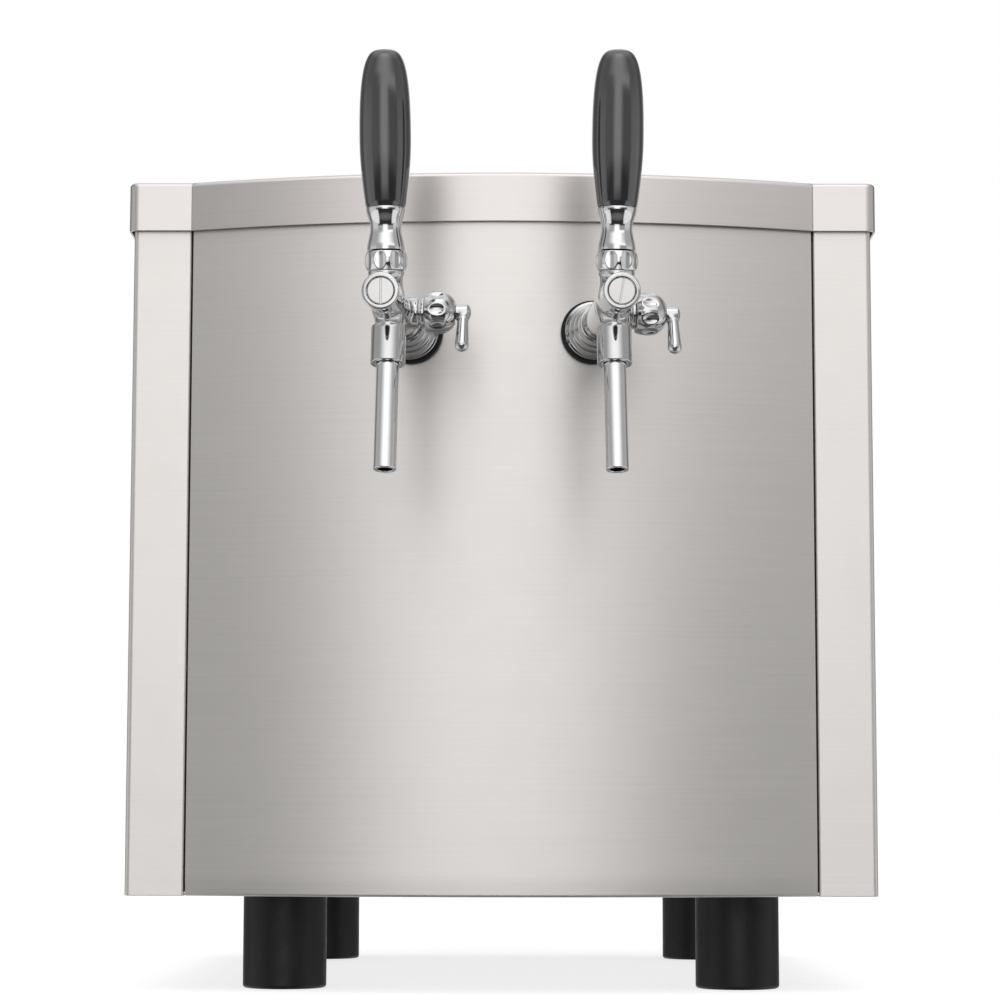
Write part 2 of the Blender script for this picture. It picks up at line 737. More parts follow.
def fused(a, b, fillet):
    """Union of two fields, with a fillet about as wide as given: min(a, b) - h^2 fillet / 4, where h falls
    from 1 to 0 while the two fields come to differ by the fillet."""
    h = np.maximum(fillet - np.abs(a - b), 0) / fillet
    return np.minimum(a, b) - h * h * fillet / 4


def hollowed(a, b, rim=BORE_EASE):
    """Field a with b taken out and the rim of the hollow eased."""
    return -fused(-a, b, rim)


def slope(field, p, step=0.02):
    """Slope of a field, by differences."""
    shifts = np.eye(3) * step
    return np.stack([(field(p + d) - field(p - d)) / (2 * step) for d in shifts], 1)


def cast(field, low, high, cell):
    """Closed surface where the field is zero. Each grid cell that it passes gets one point, at the mean of
    its edge crossings; each crossed edge gets a quad; Newton steps along the slope then draw the points onto
    the surface. Returns the shell and its normals."""
    axes = [np.arange(a, b + cell, cell) for a, b in zip(low, high)]
    grid = np.stack(np.meshgrid(*axes, indexing="ij"), -1)
    value = field(grid.reshape(-1, 3)).reshape(grid.shape[:3])
    inside = value < 0
    shape = np.array(value.shape) - 1
    total = np.zeros((*shape, 3))
    count = np.zeros(shape)
    for axis in range(3):
        b, c = (axis + 1) % 3, (axis + 2) % 3
        for corner in ((0, 0), (1, 0), (1, 1), (0, 1)):
            start = np.zeros(3, int)
            start[[b, c]] = corner
            near = tuple(slice(s, s + n) for s, n in zip(start, shape))
            start[axis] = 1
            far = tuple(slice(s, s + n) for s, n in zip(start, shape))
            crossed = inside[near] != inside[far]
            share = value[near] / np.where(crossed, value[near] - value[far], 1.0)
            total[..., axis] += np.where(crossed, share, 0)
            total[..., b] += crossed * corner[0]
            total[..., c] += crossed * corner[1]
            count += crossed
    full = count > 0
    number = np.full(shape, -1)
    number[full] = np.arange(full.sum())
    points = np.array(low) + cell * (np.argwhere(full) + total[full] / count[full][:, None])
    quads = []
    for axis in range(3):
        b, c = (axis + 1) % 3, (axis + 2) % 3
        near = [slice(1, -1)] * 3
        near[axis] = slice(0, -1)
        far = list(near)
        far[axis] = slice(1, None)
        before, after = inside[tuple(near)], inside[tuple(far)]
        for leaves, order in ((before & ~after, 1), (after & ~before, -1)):
            spot = np.argwhere(leaves)
            around = []
            for corner in ((0, 0), (1, 0), (1, 1), (0, 1)):
                at = spot.copy()
                at[:, [b, c]] += corner
                around.append(number[tuple(at.T)])
            quads.append(np.stack(around[::order], 1))
    for _ in range(4):
        way = slope(field, points)
        pull = field(points) / np.maximum((way ** 2).sum(1), 0.2)
        points = points - np.clip(pull, -cell / 2, cell / 2)[:, None] * way
    way = slope(field, points)
    normals = way / np.maximum(np.linalg.norm(way, axis=1), 1e-9)[:, None]
    return (points, [np.concatenate(quads)], np.zeros(len(points))), normals


def turned_normals(normals, matrix):
    """Normals put through the turn of a matrix."""
    return normals @ matrix[:3, :3].T


# Grid steps of the cast solids
CELL = 0.55
LEVER_CELL = 0.6 * CELL
PLUG_CELL = 0.55 * CELL


# Cabinet


def make_front_sheet():
    """Bowed front: the ring of the sheet, which draws in a little before its fold at the bottom, carried
    along the front arc, and a folded return at each end."""
    z_plate = Z_BASE + SHEET
    z_bend = Z_BASE + DRAW_UP
    ring = rounded([(0, Z_TOP, CUT_EDGE), (0, z_bend, DRAW_R), (DRAW_IN, Z_BASE, FOLD_R),
                    (FOLD, Z_BASE, CUT_EDGE), (FOLD, z_plate, CUT_EDGE),
                    (DRAW_IN + SHEET, z_plate, FOLD_R - SHEET), (SHEET, z_bend, DRAW_R - SHEET),
                    (SHEET, Z_TOP, CUT_EDGE)], closed=True, steps=8)
    end = FRONT_HIGH[0]
    path = front_arc(0, np.linspace(-end, end, ARC_ROWS))
    shells = [sweep(path, inward_of(path), ring)]
    for s in SIDES.values():
        x = sorted((s * end, s * (end - SHEET)))
        low = (x[0], PILLAR_Y + SHEET, Z_BASE + RETURN_SHORT)
        high = (x[1], PILLAR_Y + FOLD, Z_TOP - RETURN_SHORT)
        shells.append(bar(low, high))
    piece("front_sheet", joined(*shells), PANEL_STEEL, "cabinet", ["front_panel"])


def make_side_sheet(side):
    """Side panel: a plain sheet carried round the return, the pillar, the side and the rear fold, and a lip
    that carries the base plate."""
    s = SIDES[side]
    path = rounded([(SIDE_LOW[0], PILLAR_Y + FOLD, 0), (SIDE_LOW[0], PILLAR_Y, RETURN_R),
                    (HALF_W, PILLAR_Y, CORNER_R), (HALF_W, SHELL_Y, CORNER_R),
                    (HALF_W - REAR_FOLD, SHELL_Y, 0)])
    if s < 0:
        path = (path * [-1, 1])[::-1]
    x = sorted((s * (HALF_W - FOLD), s * (HALF_W - SHEET / 2)))
    lip = bar((x[0], PILLAR_Y + CORNER_R, Z_BASE), (x[1], SHELL_Y - CORNER_R, Z_BASE + SHEET))
    shell = joined(sweep(path, inward_of(path), strip(Z_BASE, Z_TOP)), lip)
    piece("side_sheet_" + side, shell, PANEL_STEEL, "cabinet", ["side_panel_" + side])


def lid_plan():
    """The lid's outline and its normals: straight corners, a bowed front between two creases, round corners.
    Each crease is a notch as deep as CREASE_DEPTH."""
    half = HALF_W + OVERHANG
    front = PILLAR_Y - OVERHANG
    rear = LID_HIGH[1]
    crease_x = math.sqrt((ARC_R + OVERHANG) ** 2 - (ARC_Y - front) ** 2)
    inner_x = crease_x - CREASE_HALF
    between = np.linspace(-crease_x, crease_x, ARC_ROWS)[1:-1]
    bow = front_arc(OVERHANG, np.concatenate([[-crease_x, -inner_x], between, [inner_x, crease_x]]))
    left = rounded([(-half, rear, 0), (-half, front, LID_CORNER_R), (-crease_x, front, 0)], steps=8)[1:]
    rear_left = rounded([(0, rear, 0), (-half, rear, LID_CORNER_R), (-half, front, 0)], steps=8)[1:-1]
    right = (np.concatenate([rear_left, left]) * [-1, 1])[::-1]
    gap = np.array([CREASE_HALF, 0])
    path = np.concatenate([left[:-1], left[-1:] - gap, bow, right[:1] + gap, right[1:], rear_left])
    inward = inward_of(path, closed=True)
    for notch in (len(left), len(left) + len(bow) - 1):
        path[notch] += inward[notch] * CREASE_DEPTH
    return path, inward


def make_lid():
    """Lid: a ring that runs from the top face over the rounded edge, down the skirt and back up inside it,
    carried round the outline, with flat faces above and below."""
    z_lid = LID_HIGH[2]
    z_skirt = LID_LOW[2]
    reach = 2 * LID_EDGE_R
    ring = rounded([(reach, z_lid, 0), (0, z_lid, LID_EDGE_R), (0, z_skirt, CUT_EDGE),
                    (SHEET, z_skirt, CUT_EDGE), (SHEET, z_lid - SHEET, LID_EDGE_R - SHEET),
                    (reach, z_lid - SHEET, 0)], steps=8)
    path, inward = lid_plan()
    shell = sweep(path, inward, ring, closed=True, tube=False)
    piece("lid_shell", shell, LID_STEEL, "lid", ["lid_cap"])


def make_lid_seal():
    """Seal: a strip with a round lower edge and a groove, carried round the tank's mouth."""
    low, high = node_box("lid_gasket")
    z_low, z_high = low[2], high[2]
    middle = SEAL_WIDTH / 2
    ring = rounded([(0, z_high, 0.3), (0, z_low, SEAL_EDGE_R), (SEAL_WIDTH, z_low, SEAL_EDGE_R),
                    (SEAL_WIDTH, z_high, 0.3), (middle + SEAL_GROOVE, z_high, 0.2),
                    (middle, (z_low + z_high) / 2, 0.4), (middle - SEAL_GROOVE, z_high, 0.2)],
                   closed=True, steps=4)
    spots = ((low[0], low[1]), (high[0], low[1]), (high[0], high[1]), (low[0], high[1]))
    path = rounded([(*spot, SEAL_CORNER_R) for spot in spots], closed=True, steps=12, guard=2.0)
    shell = sweep(path, inward_of(path, closed=True), ring, closed=True)
    piece("lid_seal", shell, SEAL_RUBBER, "lid", ["lid_gasket"])


def make_foot(node):
    """Foot: a turned block with a rounded lower edge, a ring to stand on and a shallow hollow under it."""
    low, high = node_box(node)
    r = (high[0] - low[0]) / 2
    top = high[2]
    hollow_r = r - FOOT_RING
    profile = rounded([(0, FOOT_HOLLOW, 0), (hollow_r - 1, FOOT_HOLLOW, 0.6), (hollow_r, 0, 0.5),
                       (r, 0, 2.0), (r, top, 0.8), (0, top, 0)])
    shell = moved(lathe(profile), shift((low[0] + high[0]) / 2, (low[1] + high[1]) / 2, 0))
    piece(node.replace("foot", "rubber_foot"), shell, FOOT_RUBBER, "cabinet", [node])


def make_screws():
    """Rear screws: one domed head with a cross recess, cast once and set at each place."""
    low, high = node_box("panel_screws")

    def field(p):
        head = ball(p, (0, 0, SCREW_H - SCREW_DOME_R), SCREW_DOME_R)
        head = np.maximum(head, rod(p, (0, 0, -0.1), (0, 0, SCREW_H + 1), SCREW_R, edge=0.1))
        for half in ((1.9, 0.42, 1.3), (0.42, 1.9, 1.3)):
            head = hollowed(head, block(p, (0, 0, SCREW_H), half, edge=0.15), rim=0.25)
        return head

    room = SCREW_R + 0.5
    head, _ = cast(field, (-room, -room, -0.6), (room, room, SCREW_H + 0.6), SCREW_CELL)
    shells = []
    for s in SIDES.values():
        for z in np.linspace(low[2] + SCREW_R, high[2] - SCREW_R, SCREW_ROWS):
            shells.append(moved(head, shift(s * (high[0] - SCREW_R), REAR_Y, z) @ turn(0, -90)))
    heads = joined(*shells)
    piece("panel_screw_heads", heads, FASTENER_STEEL, "cabinet", ["panel_screws"])


# Taps


def tap_frame(side):
    """Matrix of a tap's own frame, from the axis and place of its lever's joint."""
    joint = next(j for j in frame["joints"] if j["name"] == "pour_" + side)
    across = np.array(joint["axis"], float)
    across /= np.linalg.norm(across)
    back = np.array([-across[1], across[0], 0])
    matrix = np.eye(4)
    matrix[:3, 0] = across
    matrix[:3, 1] = back
    matrix[:3, 3] = np.array(joint["pos_m"]) / MM + PIVOT_REACH * back - [0, 0, PIVOT_UP]
    return matrix


ALONG_BARREL = turn(0, 90)
ALONG_LEVER = shift(0, -PIVOT_REACH, PIVOT_UP) @ turn(0, LEVER_LEAN)
ALONG_SPOUT = shift(0, -SPOUT_REACH, 0) @ turn(0, -SPOUT_LEAN)
ALONG_GLAND = shift(0, -COMP_REACH, 0) @ turn(1, 90)


def on(matrix, z):
    """The point at height z on the axis of a frame."""
    return matrix[:3, 3] + matrix[:3, 2] * z


def tail_room(p):
    """Distance to the room of the lever's tail: a flat fan below the ball, between the lines that the tail
    lies on at both ends of its swing."""
    down = PIVOT_UP - p[:, 2]
    back = p[:, 1] + PIVOT_REACH
    first, last = (math.radians(LEVER_LEAN + swing) for swing in TAIL_SWING)
    sides = [np.abs(p[:, 0]) - TAIL_ROOM, -down, down - PIVOT_UP,
             down * math.sin(first) - back * math.cos(first) - TAIL_ROOM,
             back * math.cos(last) - down * math.sin(last) - TAIL_ROOM]
    return np.max(sides, axis=0)


def body_field(p):
    """Tap body: barrel, lever neck, spout socket on a narrower waist and compensator stub, run into each
    other with fillets, less the bores, the seat of the lever's ball and the slot that its tail swings in."""
    def round_bar(axis, start, end, r, edge=0.0):
        """Distance to a round bar on a frame's axis, between two heights on it."""
        return rod(p, on(axis, start), on(axis, end), r, edge)

    ring = round_bar(ALONG_BARREL, BARREL_END - FRONT_RING_LEN, BARREL_END, FRONT_RING_R, edge=0.5)
    solid = fused(round_bar(ALONG_BARREL, BARREL_START, BARREL_END, BARREL_R, edge=0.9), ring, fillet=1.2)

    neck = round_bar(ALONG_LEVER, NECK_ROOT, NECK_TOP, NECK_R, edge=0.5)
    neck_rim = round_bar(ALONG_LEVER, NECK_TOP - NECK_RIM_H, NECK_TOP, NECK_RIM_R, edge=0.6)
    neck_thread = round_bar(ALONG_LEVER, *NECK_THREAD, NECK_THREAD_R, edge=0.3)
    solid = fused(solid, neck, fillet=4.0)
    solid = fused(solid, neck_rim, fillet=1.6)
    solid = fused(solid, neck_thread, fillet=0.3)

    waist = round_bar(ALONG_SPOUT, 0, -WAIST_LEN, WAIST_R)
    socket = round_bar(ALONG_SPOUT, -SOCKET_TOP, -SOCKET_LEN, SOCKET_R, edge=0.5)
    solid = fused(solid, fused(waist, socket, fillet=2.0), fillet=6.0)

    stub_end = STUB_REACH - STUB_GAP
    stub = round_bar(ALONG_GLAND, 0, stub_end, STUB_R, edge=0.2)
    stub = fused(stub, round_bar(ALONG_GLAND, *STUB_RING, STUB_RING_R, edge=1.0), fillet=0.8)
    stub = fused(stub, round_bar(ALONG_GLAND, STUB_RIM_START, stub_end, STUB_RIM_R, edge=0.5), fillet=0.5)
    solid = fused(solid, stub, fillet=2.4)
    thread_end = STUB_REACH + STUB_THREAD_LEN
    stub_thread = round_bar(ALONG_GLAND, STUB_THREAD_START, thread_end, STUB_THREAD_R, edge=0.3)
    solid = fused(solid, stub_thread, fillet=0.3)

    past_barrel = BARREL_END + CUT_PAST
    past_socket = -SOCKET_LEN - CUT_PAST
    cuts = [
        (round_bar(ALONG_BARREL, 0, SHANK_GRIP, SHANK_R + RUN_GAP), BORE_EASE),
        (round_bar(ALONG_BARREL, SHANK_GRIP - 4, PLUG_START + 1, BARREL_BORE_R), BORE_EASE),
        (round_bar(ALONG_BARREL, PLUG_START, past_barrel, PLUG_R + RUN_GAP), BORE_EASE),
        (round_bar(ALONG_BARREL, BARREL_END - PLUG_RIM_H, past_barrel, PLUG_R + PLUG_RIM), MOUTH_EASE),
        (ball(p, on(ALONG_LEVER, 0), CUP_R), BORE_EASE),
        (tail_room(p), BORE_EASE),
        (round_bar(ALONG_SPOUT, 0, -SOCKET_LEN, SPOUT_BORE_R), BORE_EASE),
        (round_bar(ALONG_SPOUT, -SOCKET_SEAT, past_socket, SPOUT_R + RUN_GAP), BORE_EASE),
        (round_bar(ALONG_SPOUT, SOCKET_RIM_H - SOCKET_LEN, past_socket, SOCKET_RIM_R), MOUTH_EASE),
        (round_bar(ALONG_GLAND, 0, thread_end + CUT_PAST, SPINDLE_R + RUN_GAP), BORE_EASE),
    ]
    for cut, ease_width in cuts:
        solid = hollowed(solid, cut, ease_width)
    return solid


def plug_field(slot_turn):
    """Front plug: a disc with eased rims and a straight slot, along Z of the barrel's frame."""
    turned = turn(2, slot_turn)[:3, :3]
    slot = (PLUG_SLOT / 2, 2 * PLUG_R, PLUG_SLOT_DEPTH)

    def field(p):
        disc = rod(p, (0, 0, PLUG_START), (0, 0, PLUG_FACE), PLUG_R, edge=0.5)
        return hollowed(disc, block(p @ turned, (0, 0, PLUG_FACE), slot), rim=0.15)
    return field


def lever_field(p):
    """Compensator lever, along Z of the gland's frame: a spindle with a domed end and a drop-shaped arm."""
    knee = np.array([0, 0, SPINDLE_REACH - SPINDLE_R - 0.4])
    lean = math.radians(SMALL_LEVER_LEAN)
    tip = knee + SMALL_LEVER_LEN * np.array([math.cos(lean), -math.sin(lean), 0])
    head_start = STUB_REACH + GLAND_LEN + STUB_GAP
    end = (0, 0, SPINDLE_REACH)
    spindle = rod(p, (0, 0, SPINDLE_START), end, SPINDLE_R, edge=0.2)
    spindle = np.minimum(spindle, rod(p, (0, 0, head_start), end, SPINDLE_HEAD_R, edge=0.4))
    dome = ball(p, (0, 0, SPINDLE_REACH - SPINDLE_DOME_R), SPINDLE_DOME_R)
    spindle = np.where(p[:, 2] < SPINDLE_REACH - SPINDLE_DOME_H, spindle, np.maximum(spindle, dome))
    return fused(spindle, drop(p, knee, tip, SMALL_LEVER_ROOT_R, SMALL_LEVER_TIP_R), fillet=2.2)


def scalloped(r_widest, z_mid, depth, width_r, height):
    """Radius with finger hollows: each is an ellipsoid of revolution set into the rim between two lands. On
    a ray at angle d from its middle it lies at D cos d - sqrt(w^2 (1 - (z/h)^2) - D^2 sin^2 d)."""
    centre = r_widest + width_r - depth

    def dent(a, r, z):
        off = (a % (TAU / SCALLOPS)) - TAU / SCALLOPS / 2
        room = width_r ** 2 * (1 - ((z - z_mid) / height) ** 2) - (centre * np.sin(off)) ** 2
        hollow = np.where(room > 0, centre * np.cos(off) - np.sqrt(np.maximum(room, 0)), np.inf)
        return -np.logaddexp(-r * SCALLOP_SHARP, -hollow * SCALLOP_SHARP) / SCALLOP_SHARP
    return dent


def threaded(pitch, depth, start, end):
    """Radius with a thread cut in it: a rounded groove that climbs one pitch in each turn."""
    def dent(a, r, z):
        phase = (z / pitch - a / TAU) * TAU
        fade = np.clip((z - start) / pitch, 0, 1) * np.clip((end - z) / pitch, 0, 1)
        return r - depth * fade * (0.5 + 0.5 * np.cos(phase)) ** 1.5
    return dent


def outer_only(dent):
    """The same dent on the outside alone, so that a bore stays round."""
    return lambda a, r, z: np.where(r > PIPE_R, dent(a, r, z), r)


def thread_rows(r, start, end, pitch):
    """Straight stretch of a profile with ten rows in each pitch, close enough for a thread."""
    z = np.linspace(start, end, round((end - start) / pitch * 10) + 1)
    return np.stack([np.full(len(z), r), z], 1)


def hexagonal(r_corner):
    """Radius cut back to the six flats of a hexagon with corners at r_corner."""
    def dent(a, r, z):
        flat = r_corner * math.cos(TAU / 12) / np.cos(a % (TAU / 6) - TAU / 12)
        return np.minimum(r, flat)
    return dent


def hex_nut(r_corner, r_hole, height):
    """Chamfered hexagon nut along Z."""
    rise = NUT_SLANT * CHAMFER_RISE
    profile = [(r_corner - NUT_SLANT, 0), (r_corner, rise), (r_corner, height - rise),
               (r_corner - NUT_SLANT, height), (r_hole + NUT_LIP, height), (r_hole, height - NUT_LIP),
               (r_hole, NUT_LIP), (r_hole + NUT_LIP, 0)]
    return lathe(profile, dent=hexagonal(r_corner), ring=True)


def ease(a, b, t):
    """A smooth rise from a to b over t = 0 to 1, level at both ends."""
    return a + (b - a) * (1 - np.cos(math.pi * t)) / 2


def ferrule_profile():
    """Ferrule: from a round rim in to a waist and out again under the grip, over a hollow ball seat."""
    rim_z = math.sqrt(FERRULE_SEAT_R ** 2 - FERRULE_RIM_R ** 2)
    waist_z = rim_z + (FERRULE_TOP - rim_z) * FERRULE_WAIST_UP
    t = np.linspace(0, 1, 15)
    lower = np.stack([ease(FERRULE_RIM_R, FERRULE_WAIST_R, t), rim_z + (waist_z - rim_z) * t], 1)
    top_z = FERRULE_TOP - 0.4
    upper = np.stack([ease(FERRULE_WAIST_R, FERRULE_TOP_R, t), waist_z + (top_z - waist_z) * t], 1)
    seat = np.radians(np.linspace(*FERRULE_SEAT, 10))
    hollow = np.stack([FERRULE_SEAT_R * np.sin(seat), FERRULE_SEAT_R * np.cos(seat)], 1)
    rim = [(FERRULE_RIM_R - 0.1, rim_z - 0.05)]
    top = [(FERRULE_TOP_R - 0.2, FERRULE_TOP), (0, FERRULE_TOP)]
    return np.concatenate([[(0, FERRULE_SEAT_R)], hollow, rim, lower, upper[1:], top])


def grip_profile():
    """Grip: a sine swell from the foot to the widest place, then r = R (1 - u^2.5)^(1/4) up to the end."""
    t = np.linspace(0, 1, 25)
    swell = GRIP_FOOT_R + (GRIP_R - GRIP_FOOT_R) * np.sin(math.pi / 2 * t)
    low = np.stack([swell, GRIP_WIDEST * GRIP_LEN * t], 1)
    u = np.sin(math.pi / 2 * np.linspace(0, 1, 45)) ** 0.8
    high = np.stack([GRIP_R * (1 - u ** 2.5) ** 0.25, GRIP_LEN * (GRIP_WIDEST + (1 - GRIP_WIDEST) * u)], 1)
    foot = [(0, 0.1), (GRIP_FOOT_R - 0.8, 0.1), (GRIP_FOOT_R - 0.2, 0.25)]
    side = np.concatenate([foot, low[1:], high[1:-1], [(0, GRIP_LEN)]])
    return side + [0, FERRULE_TOP]


def collar_profile():
    """Collar nut: a zone of a sphere with eased rims, over a hollow that the neck's thread fills."""
    half = COLLAR_H / 2
    lift = np.linspace(-half + 0.35, half - 0.35, 29)
    zone = np.stack([np.sqrt(COLLAR_R ** 2 - lift ** 2), lift], 1)
    rim = math.sqrt(COLLAR_R ** 2 - half ** 2)
    inner = [(COLLAR_MOUTH_R, half), (COLLAR_MOUTH_R, 3.2),
             (COLLAR_THREAD_R, 2.6), (COLLAR_THREAD_R, -half)]
    return np.concatenate([[(rim - 0.5, -half), (rim - 0.1, -half + 0.1)], zone,
                           [(rim - 0.1, half - 0.1), (rim - 0.5, half)], inner])


def gland_profile():
    """Gland nut: it swells from its seat to the widest place and closes in a dome round the spindle."""
    t = np.linspace(0, 1, 15)
    swell = GLAND_SEAT_R + (GLAND_R - GLAND_SEAT_R) * np.sin(math.pi / 2 * t)
    low = np.stack([swell, GLAND_LEN * GLAND_WIDEST * t], 1)
    dome = GLAND_R * (1 - (0.87 * t) ** 2.3) ** 0.5
    high = np.stack([dome, GLAND_LEN * (GLAND_WIDEST + (1 - GLAND_WIDEST) * t)], 1)
    hole = SPINDLE_R + 0.15
    inner = [(hole + 0.4, GLAND_LEN), (hole, GLAND_LEN - 0.5), (hole, GLAND_BORE_LEN),
             (GLAND_BORE_R, GLAND_BORE_LEN), (GLAND_BORE_R, 0)]
    return np.concatenate([[(GLAND_SEAT_R - 0.6, 0)], low[1:], high[1:], inner])


def flange_profile():
    """Flange: four turned steps that narrow towards the barrel, with a fine groove before each, by their
    (r, z, rounding) corners."""
    outline = [(FLANGE_BORE_R, WASHER_T, 0), (FLANGE_R - 0.7, WASHER_T, 0.3), (FLANGE_R, 4.1, 0.3),
               (FLANGE_R, 8.6, 0.7),
               (15.7, 9.3, 0.3), (15.2, 10.0, 0.25), (15.5, 10.5, 0.4), (14.7, 15.8, 0.6),
               (13.6, 16.5, 0.3), (13.2, 17.1, 0.25), (13.5, 17.6, 0.4), (12.8, 22.8, 0.6),
               (11.9, 23.4, 0.3), (11.5, 24.0, 0.25), (11.8, 24.5, 0.4), (11.1, 31.1, 0.6),
               (FLANGE_SEAT_R, 31.5, 0.1), (FLANGE_SEAT_R, BARREL_START, 0),
               (FLANGE_BORE_R, BARREL_START, 0)]
    return rounded(outline, closed=True, steps=4, guard=0.25)


def spanner_hole(a, r, z):
    """Radius with a small round hole for a hook spanner in the first step of the flange."""
    off = np.mod(a - math.radians(SPANNER_ANGLE) + math.pi, TAU) - math.pi
    away = np.hypot(off * FLANGE_R, z - SPANNER_UP)
    depth = SPANNER_DEPTH * np.clip((SPANNER_R - away) / 0.5, 0, 1)
    return np.where(r > SPANNER_FLOOR_R, r - depth, r)


def tap_shells():
    """The tap's pieces in its own frame, made once for both taps."""
    lever, lever_normals = cast(lever_field, (-6, -12.5, 3.5), (26.5, 6, 43.5), LEVER_CELL)
    body, body_normals = cast(body_field, (-11.5, -138.5, -47), (24, -6, 30), CELL)
    spout = rounded([(SPOUT_BORE_R, -SPOUT_LEN, 0.5), (SPOUT_R, -SPOUT_LEN, 0.5), (SPOUT_R, -SPOUT_TOP, 0.3),
                     (SPOUT_BORE_R, -SPOUT_TOP, 0.3)], closed=True, steps=5)
    shank_rows = thread_rows(SHANK_R, 0.6 - SHANK_TAIL, -SHANK_NUT_FACE, SHANK_PITCH)
    shank = np.concatenate([[(PIPE_BORE_R, -SHANK_TAIL), (SHANK_R - 0.6, -SHANK_TAIL)], shank_rows,
                            [(SHANK_R, SHANK_GRIP), (PIPE_BORE_R, SHANK_GRIP)]])
    shank_cut = outer_only(threaded(SHANK_PITCH, SHANK_THREAD, -SHANK_TAIL, -SHANK_NUT_FACE))
    washer = rounded([(WASHER_BORE_R, 0.05, 0.2), (WASHER_R, 0.05, 0.9), (WASHER_R, WASHER_T, 0.9),
                      (WASHER_BORE_R, WASHER_T, 0.2)], closed=True, steps=5)
    collar_cut = scalloped(COLLAR_R, z_mid=0, depth=1.45, width_r=6.4, height=18.0)
    gland_cut = scalloped(GLAND_R, z_mid=8.2, depth=1.7, width_r=4.8, height=8.0)
    return {
        "lever": (moved(lever, ALONG_GLAND), turned_normals(lever_normals, ALONG_GLAND)),
        "body": (body, body_normals),
        "spout": moved(lathe(spout, ring=True), ALONG_SPOUT),
        "shank": moved(lathe(shank, dent=shank_cut, ring=True), ALONG_BARREL),
        "washer": moved(lathe(washer, ring=True), ALONG_BARREL),
        "flange": moved(lathe(flange_profile(), 240, spanner_hole, ring=True), ALONG_BARREL),
        "collar": lathe(collar_profile(), 192, collar_cut, ring=True),
        "ferrule": moved(lathe(ferrule_profile(), 128), ALONG_LEVER),
        "grip": moved(lathe(grip_profile(), 128), ALONG_LEVER),
        "gland": lathe(gland_profile(), 192, gland_cut, ring=True),
    }


def make_tap(side, shells):
    """All pieces of one tap that show, set in its frame."""
    place = tap_frame(side)
    lever_body = "tap_lever_" + side

    def set_piece(name, key, material, body, node, at=np.eye(4)):
        """One of the shared shells as a piece of this tap."""
        piece(name + "_" + side, moved(shells[key], place @ at), material, body, [node + "_" + side])

    def set_cast(name, shell, normals, body, node, material=CHROME):
        """A cast shell with its normals as a piece of this tap."""
        piece(name + "_" + side, moved(shell, place), material, body, [node + "_" + side],
              turned_normals(normals, place))

    collar_at = ALONG_LEVER @ turn(2, COLLAR_TURN[side])
    gland_at = ALONG_GLAND @ shift(0, 0, STUB_REACH) @ turn(2, GLAND_TURN[side])
    set_piece("threaded_shank", "shank", CHROME, "cabinet", "shank")
    set_piece("flange_seal", "washer", SEAL_RUBBER, "cabinet", "flange_washer")
    set_piece("stepped_flange", "flange", TURNED_CHROME, "cabinet", "flange")
    set_piece("collar", "collar", BRIGHT_CHROME, "cabinet", "collar_nut", collar_at)
    set_piece("spout_tube", "spout", BRIGHT_CHROME, "cabinet", "spout")
    set_piece("gland", "gland", CHROME, "cabinet", "gland_nut", gland_at)
    set_piece("lever_ferrule", "ferrule", BRIGHT_CHROME, lever_body, "ferrule")
    set_piece("lever_grip", "grip", GRIP_BLACK, lever_body, "grip")
    set_cast("barrel_body", *shells["body"], "cabinet", "tap_body")
    set_cast("flow_lever", *shells["lever"], "compensator_" + side, "compensator_lever")
    room = PLUG_R + 1.2
    low = (-room, -room, PLUG_START - 1)
    high = (room, room, PLUG_FACE + 1)
    plug, normals = cast(plug_field(SLOT_TURN[side]), low, high, PLUG_CELL)
    plug = moved(plug, ALONG_BARREL)
    normals = turned_normals(normals, ALONG_BARREL)
    set_cast("slotted_plug", plug, normals, "cabinet", "front_plug", SATIN_CHROME)


# Cooling coils and the fittings of the rear wall


def make_coil(side):
    """Cooling coil: straight in from the rear inlet, round the loops with a steady climb, level for the last
    few degrees and straight on to the shank's tail. At angle a a loop is at (x + r cos a, y + r sin a)."""
    low, high = node_box("cooling_coil_right")
    grid_low, grid_high = node_box("coil_grid")
    r = (high[0] - low[0]) / 2 - TUBE_R
    x = (low[0] + high[0]) / 2
    y = (grid_low[1] + grid_high[1]) / 2
    z_in = low[2] + TUBE_R
    z_out = high[2] - TUBE_R
    tap = tap_frame("right")
    tail = (tap @ [0, SHANK_TAIL, 0, 1])[:3]
    wound = TAU * COIL_LOOPS
    a = np.linspace(0, wound + math.atan2(tap[1, 0], tap[0, 0]), LOOP_POINTS * COIL_LOOPS + 2)
    climb = z_in + (z_out - z_in) * np.minimum(a / wound, 1)
    loops = np.stack([x - r * np.cos(a), y - r * np.sin(a), climb], 1)
    t = np.linspace(0, 1, 25)[:-1, None]
    entry = np.array([x - r, REAR_Y - PIPE_TAIL, z_in])
    path = np.concatenate([entry + (loops[0] - entry) * t, loops, tail + (loops[-1] - tail) * t[::-1]])
    shell = pipe(path * [SIDES[side], 1, 1], TUBE_R)
    piece("cooling_tube_" + side, shell, COIL_STEEL, "cabinet", ["cooling_coil_" + side])


def rear_frame(node):
    """Matrix of a rear fitting's frame: its middle on the wall's face, Z leading out."""
    low, high = node_box(node)
    return shift((low[0] + high[0]) / 2, REAR_Y, (low[2] + high[2]) / 2) @ turn(0, -90)


